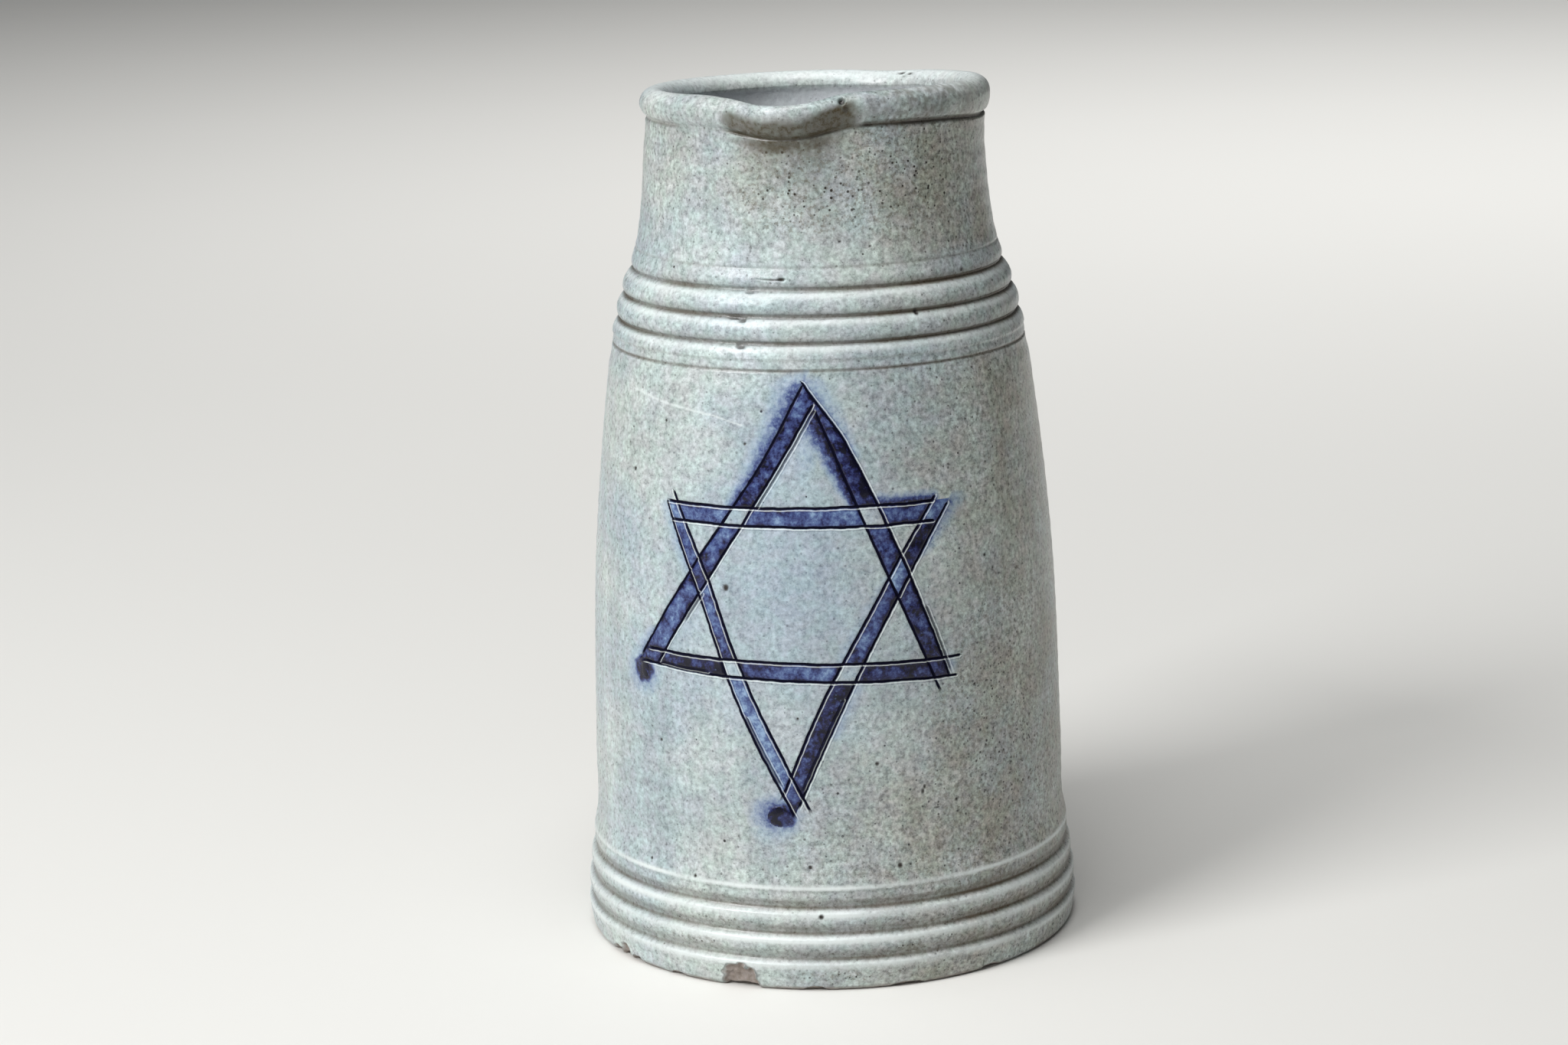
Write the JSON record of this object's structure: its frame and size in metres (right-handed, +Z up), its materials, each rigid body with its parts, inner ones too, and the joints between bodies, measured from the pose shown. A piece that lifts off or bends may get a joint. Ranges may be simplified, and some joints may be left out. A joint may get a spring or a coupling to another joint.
{
  "type": "stoneware pitcher",
  "caption": "Upright salt-glazed pitcher with a grooved foot and shoulder, rolled rim, pinched pouring lip, strap handle at the back and a scored six-pointed star filled with cobalt.",
  "frame": {"origin": "middle of the flat base, on the surface that the pitcher stands on", "axes": "+Z up out of the mouth, -Y towards the pouring lip, +Y towards the handle, +X to the right of someone facing the lip"},
  "size_m": [0.1324, 0.1559, 0.225],
  "materials": {
    "stoneware": "salt glaze, fine orange peel, semi gloss",
    "luting_clay": "finger-smoothed clay under salt glaze",
    "smalt": "cobalt smalt melted into salt glaze, glossy",
    "pale_smalt": "thin cobalt wash melted into salt glaze, glossy"
  },
  "bodies": {
    "root": {"body": "stoneware", "handle": "stoneware", "handle_lower_luting": "luting_clay", "handle_upper_luting": "luting_clay", "smalt_base_bar_left": "smalt", "smalt_base_bar_middle": "smalt", "smalt_base_bar_right": "smalt", "smalt_bottom_corner": "smalt", "smalt_drip_bottom": "smalt", "smalt_drip_left": "smalt", "smalt_falling_left_leg_foot": "pale_smalt", "smalt_falling_left_leg_middle": "smalt", "smalt_falling_left_leg_top": "pale_smalt", "smalt_falling_right_leg_foot": "smalt", "smalt_falling_right_leg_middle": "smalt", "smalt_falling_right_leg_top": "smalt", "smalt_left_crossing": "smalt", "smalt_left_foot_corner": "smalt", "smalt_left_leg_foot": "smalt", "smalt_left_leg_middle": "smalt", "smalt_left_leg_top": "smalt", "smalt_right_crossing": "pale_smalt", "smalt_right_foot_corner": "smalt", "smalt_right_leg_foot": "smalt", "smalt_right_leg_middle": "smalt", "smalt_right_leg_top": "smalt", "smalt_top_bar_left": "pale_smalt", "smalt_top_bar_middle": "smalt", "smalt_top_bar_right": "smalt", "smalt_top_left_corner": "pale_smalt", "smalt_top_right_corner": "pale_smalt"}
  },
  "joints": []
}
